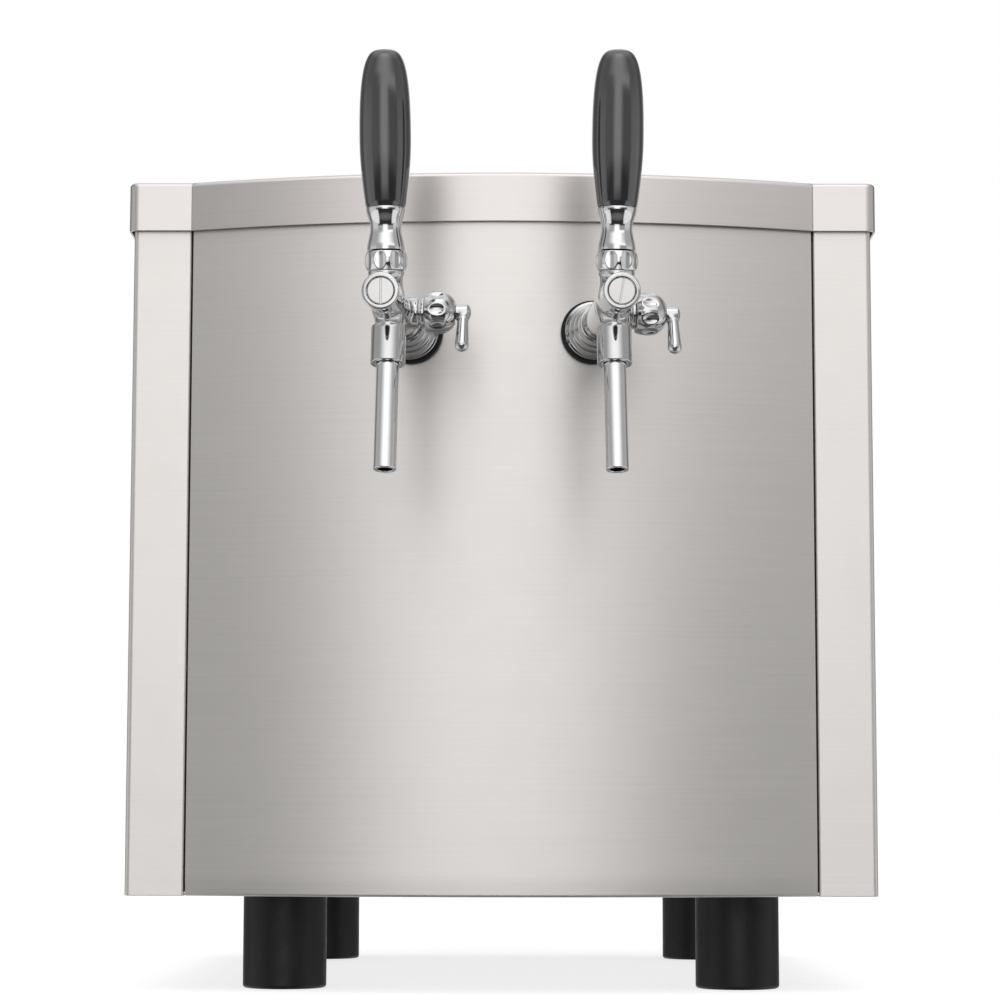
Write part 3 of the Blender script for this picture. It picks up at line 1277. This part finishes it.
def inlet_shell():
    """Beer inlet along Z: a pipe through the wall, a chamfered hexagon and a threaded end round one bore."""
    end = INLET_HEX_T + INLET_THREAD_LEN
    slant = INLET_SLANT
    rise = INLET_SLANT * CHAMFER_RISE
    waist = INLET_HEX_R - slant
    profile = np.concatenate([
        [(PIPE_BORE_R, -PIPE_TAIL), (PIPE_R - PIPE_EDGE, -PIPE_TAIL)],
        [(PIPE_R, PIPE_EDGE - PIPE_TAIL), (PIPE_R, 0)],
        [(waist, 0), (INLET_HEX_R, rise), (INLET_HEX_R, INLET_HEX_T - rise), (waist, INLET_HEX_T)],
        thread_rows(INLET_THREAD_R, INLET_HEX_T, end - slant, INLET_PITCH),
        [(INLET_THREAD_R - slant, end), (PIPE_BORE_R + slant, end), (PIPE_BORE_R, end - slant)]])
    thread = threaded(INLET_PITCH, INLET_THREAD, INLET_HEX_T + 0.8, end)
    flats = hexagonal(INLET_HEX_R)
    return lathe(profile, 120, outer_only(lambda a, r, z: flats(a, thread(a, r, z), z)), ring=True)


def drain_field(p):
    """Drain cock along Z: a pipe through the wall, a collar, the body with a boss round its key and a spigot
    of short cones for the hose, less the bores. The boss lies along Y."""
    solid = rod(p, (0, 0, -PIPE_TAIL), (0, 0, 1), PIPE_R, PIPE_EDGE)
    solid = fused(solid, rod(p, (0, 0, 0), (0, 0, DRAIN_COLLAR_T), DRAIN_COLLAR_R, edge=0.7), fillet=0.3)
    solid = fused(solid, rod(p, (0, 0, 0), (0, 0, DRAIN_LEN), DRAIN_R, edge=1.0), fillet=1.2)
    key_z = DRAIN_LEN / 2
    boss = rod(p, (0, -KEY_BOSS_END, key_z), (0, KEY_BOSS_END, key_z), KEY_BOSS_R, edge=0.6)
    solid = fused(solid, boss, fillet=1.6)
    away = np.hypot(p[:, 0], p[:, 1])
    step = SPIGOT_LEN / BARBS
    for k in range(BARBS):
        up = p[:, 2] - DRAIN_LEN - k * step
        cone = np.maximum(away - SPIGOT_R + BARB_DEPTH * up / step, np.maximum(-up - 0.5, up - step))
        solid = np.minimum(solid, cone)
    tip = DRAIN_LEN + SPIGOT_LEN
    solid = hollowed(solid, rod(p, (0, 0, -PIPE_TAIL - CUT_PAST), (0, 0, tip + CUT_PAST), PIPE_BORE_R))
    return hollowed(solid, rod(p, (0, -2 * KEY_TOP, key_z), (0, 2 * KEY_TOP, key_z), KEY_R + RUN_GAP))


def key_field(p):
    """Drain key along Z: a plug with a cross bore, and a flat lever with round ends along X on top of it."""
    plug = rod(p, (0, 0, 1 - KEY_TOP), (0, 0, KEY_TOP + 1), KEY_R, edge=0.5)
    share = np.clip(p[:, 0] / KEY_LEVER_LEN, 0, 1)
    half_width = KEY_LEVER_W / 2 + KEY_LEVER_TAPER * (1 - share)
    outline = np.hypot(p[:, 0] - share * KEY_LEVER_LEN, p[:, 1]) - half_width
    up = np.abs(p[:, 2] - KEY_TOP - KEY_LEVER_T / 2) - KEY_LEVER_T / 2
    lever = -fused(-outline, -up, fillet=0.9)
    head = rod(p, (0, 0, KEY_TOP), (0, 0, KEY_TOP + KEY_LEVER_T), KEY_R + 0.5, edge=0.6)
    solid = fused(plug, fused(lever, head, fillet=0.8), fillet=0.6)
    return hollowed(solid, rod(p, (-2 * KEY_R, 0, 0), (2 * KEY_R, 0, 0), 0.75 * PIPE_BORE_R))


def make_rear_fittings():
    """Inlets, drain cock, its key, and the lock nuts of all three inside the tank."""
    inlet = inlet_shell()
    nut = moved(hex_nut(NUT_R, PIPE_R + RUN_GAP, NUT_T), shift(0, 0, -NUT_FACE - NUT_T))
    nuts = []
    for side in SIDES:
        node = "beer_inlet_" + side
        place = rear_frame(node)
        nuts.append(moved(nut, place))
        piece("inlet_" + side, moved(inlet, place), TURNED_CHROME, "cabinet", [node])
    piece("inlet_lock_nuts", joined(*nuts), FASTENER_STEEL, "cabinet", ["inlet_nuts"])
    joint = next(j for j in frame["joints"] if j["name"] == "drain_turn")
    key_at = np.array(joint["pos_m"]) / MM
    place = shift(key_at[0], REAR_Y, key_at[2]) @ turn(0, -90)
    piece("drain_lock_nut", moved(nut, place), BRASS, "cabinet", ["drain_nut"])
    room = DRAIN_COLLAR_R + 1
    high = (room, room, DRAIN_LEN + SPIGOT_LEN + 1)
    cock, normals = cast(drain_field, (-room, -room, -PIPE_TAIL - 1), high, CELL)
    normals = turned_normals(normals, place)
    piece("drain_cock", moved(cock, place), BRASS, "cabinet", ["drain_body"], normals)
    room = KEY_R + 2
    high = (KEY_LEVER_LEN + 5, room, KEY_TOP + KEY_LEVER_T + 1)
    key, normals = cast(key_field, (-room, -room, -KEY_TOP), high, LEVER_CELL)
    piece("drain_handle", moved(key, shift(*key_at)), CHROME, "drain_key", ["drain_key"], normals)


def make_shank_nuts():
    """The nuts that draw the shanks against the tank's front wall."""
    nut = hex_nut(SHANK_NUT_R, SHANK_R + RUN_GAP, NUT_T)
    nut = moved(nut, ALONG_BARREL @ shift(0, 0, -SHANK_NUT_FACE - NUT_T))
    shells = [moved(nut, tap_frame(side)) for side in SIDES]
    piece("shank_lock_nuts", joined(*shells), BRASS, "cabinet", ["shank_nuts"])


# Stage


STRIP_SPREAD = 18.5
STRIP_TURN = -2.0
STRIP_LIGHT = 0.88
WALL_LIGHT = 0.43
CORNER_LIGHT = 0.18
SIDE_LIGHT = 0.66
REAR_LIGHT = 0.50
CEILING_LIGHT = 0.55
TABLE_EDGE = -14.0
TABLE_LIGHT = 0.85
UNDER_LIGHT = 0.40
SHADE_LIGHT = 0.03
FLOOR_REACH = 14.0
FLOOR_GLOW = 0.72


def make_world():
    """Soft studio by direction: behind the camera a strip, exp(-(azimuth / spread)^4) below and wider above,
    on plain walls with darker corners beside the rear one; a bright ceiling; and below the table's edge a
    bright table with a dark band in front. The camera itself sees plain white.

    Azimuths are degrees from the camera's side, to the right, and heights are degrees above level."""
    world = bpy.data.worlds.new("studio")
    bpy.context.scene.world = world
    world.use_nodes = True
    tree = world.node_tree
    way = put(tree, "SeparateXYZ", {0: put(tree, "TexCoord").outputs["Generated"]}).outputs
    forward = maths(tree, "MULTIPLY", way[1], -1.0)
    azimuth = maths(tree, "DEGREES", maths(tree, "ARCTAN2", way[0], forward))
    height = maths(tree, "DEGREES", maths(tree, "ARCSINE", way[2]))
    off = maths(tree, "ABSOLUTE", azimuth)

    def mixed(share, first, second):
        """Number between two others."""
        return maths(tree, "MULTIPLY_ADD", share, maths(tree, "SUBTRACT", second, first), first)

    spread = maths(tree, "DIVIDE", maths(tree, "SUBTRACT", azimuth, STRIP_TURN), STRIP_SPREAD)
    square = maths(tree, "MULTIPLY", spread, spread)
    bell = maths(tree, "EXPONENT", maths(tree, "MULTIPLY", maths(tree, "MULTIPLY", square, square), -1.0))
    right = maths(tree, "MULTIPLY", eased(tree, azimuth, 12, 40, 1.0, 0.8), eased(tree, azimuth, 60, 48))
    middle = maths(tree, "MULTIPLY", eased(tree, azimuth, -40, -2), right)
    wide = maths(tree, "MULTIPLY", eased(tree, azimuth, -66, -8), eased(tree, azimuth, 66, 8))
    lamp = mixed(eased(tree, height, 17, 24), mixed(eased(tree, height, 11, 16), bell, middle), wide)
    lamp = maths(tree, "MULTIPLY", lamp, eased(tree, height, 78, 60, 0.0, STRIP_LIGHT))
    front_wall = eased(tree, height, -11, -3, 0.05, WALL_LIGHT)
    right_wall = eased(tree, height, 8, 14, 0.80, 1.05)
    front_wall = maths(tree, "MULTIPLY", front_wall, mixed(eased(tree, azimuth, 8, 34), 1.0, right_wall))
    side_wall = eased(tree, height, 4, 20, SIDE_LIGHT, WALL_LIGHT)
    walls = mixed(eased(tree, off, 54, 64), front_wall, side_wall)
    walls = mixed(eased(tree, off, 98, 122), walls, CORNER_LIGHT)
    walls = mixed(eased(tree, off, 138, 160), walls, REAR_LIGHT)
    ceiling = eased(tree, height, 35, 65, 0.0, CEILING_LIGHT)
    upper = maths(tree, "ADD", walls, maths(tree, "ADD", lamp, ceiling))
    table = maths(tree, "MAXIMUM", eased(tree, off, 42, 54), eased(tree, height, -26, -40, 0.0, 0.16))
    table = maths(tree, "MULTIPLY", table, eased(tree, height, -58, -32, UNDER_LIGHT, TABLE_LIGHT))
    lower = maths(tree, "ADD", table, SHADE_LIGHT)
    total = mixed(eased(tree, height, TABLE_EDGE - 1.5, TABLE_EDGE + 1.5), lower, upper)
    glow = put(tree, "Background", {"Color": total, "Strength": 1.0})
    plain = put(tree, "Background", {"Color": (1.0, 1.0, 1.0, 1.0), "Strength": 1.0})
    seen = put(tree, "LightPath").outputs["Is Camera Ray"]
    either = put(tree, "MixShader", {0: seen, 1: glow.outputs[0], 2: plain.outputs[0]})
    tree.links.new(either.outputs[0], tree.nodes["World Output"].inputs["Surface"])


def make_floor():
    """A pale floor that glows a little, so that it stays near white around the soft shadows."""
    mesh = bpy.data.meshes.new("floor")
    signs = ((-1, -1), (1, -1), (1, 1), (-1, 1))
    corners = [(x * FLOOR_REACH, y * FLOOR_REACH, 0) for x, y in signs]
    mesh.from_pydata(corners, [], [(0, 1, 2, 3)])
    floor = bpy.data.objects.new("floor", mesh)
    bpy.context.scene.collection.objects.link(floor)
    material = bpy.data.materials.new("pale_floor")
    material.use_nodes = True
    shader = material.node_tree.nodes["Principled BSDF"]
    shader.inputs["Base Color"].default_value = (0.50, 0.50, 0.50, 1.0)
    shader.inputs["Roughness"].default_value = 0.9
    shader.inputs["Emission Color"].default_value = (1.0, 1.0, 1.0, 1.0)
    shader.inputs["Emission Strength"].default_value = FLOOR_GLOW
    mesh.materials.append(material)
    floor.visible_glossy = False


CAMERA_AT = (5.2, -1877.9, 99.2)
CAMERA_YAW = 0.212
CAMERA_PITCH = 6.349
CAMERA_ROLL = 0.088
CAMERA_LENS = 103.86


def make_camera():
    """Camera at the photograph's place: yaw about Z, then pitch about its side, then roll about its view."""
    data = bpy.data.cameras.new("camera")
    data.lens = CAMERA_LENS
    data.sensor_width = 36.0
    data.clip_end = 100.0
    camera = bpy.data.objects.new("camera", data)
    bpy.context.scene.collection.objects.link(camera)
    aim = turn(2, CAMERA_YAW) @ turn(0, CAMERA_PITCH) @ turn(1, -CAMERA_ROLL)
    place = shift(*(np.array(CAMERA_AT) * MM)) @ aim @ turn(0, 90)
    camera.matrix_world = place.T.tolist()
    bpy.context.scene.camera = camera


make_world()
make_floor()
make_camera()
bpy.context.scene.view_settings.view_transform = "Standard"

make_front_sheet()
make_lid()
make_lid_seal()
for side in SIDES:
    make_side_sheet(side)
for node in ("foot_front_left", "foot_front_right", "foot_rear_left", "foot_rear_right"):
    make_foot(node)
make_screws()
shared = tap_shells()
for side in SIDES:
    make_tap(side, shared)
    make_coil(side)
make_shank_nuts()
make_rear_fittings()

# Finishes of the CAD nodes that stay
KEPT = {
    "rear_panel": PANEL_STEEL, "base_plate": INNER_STEEL, "inner_tank": INNER_STEEL,
    "tank_floor": INNER_STEEL, "coil_grid": INNER_STEEL, "lid_liner": INNER_STEEL,
    "lid_foam": FOAM, "foot_bolts": FASTENER_STEEL,
}
for side in SIDES:
    KEPT.update({
        "insulation_" + side: FOAM, "valve_piston_" + side: BRASS, "lever_stem_" + side: FASTENER_STEEL,
        "compensator_cone_" + side: CONE_WHITE,
    })
for part in ("front", "rear", "base"):
    KEPT["insulation_" + part] = FOAM
for node, material in KEPT.items():
    data = frame["nodes"][node].data
    data.materials.clear()
    data.materials.append(material)
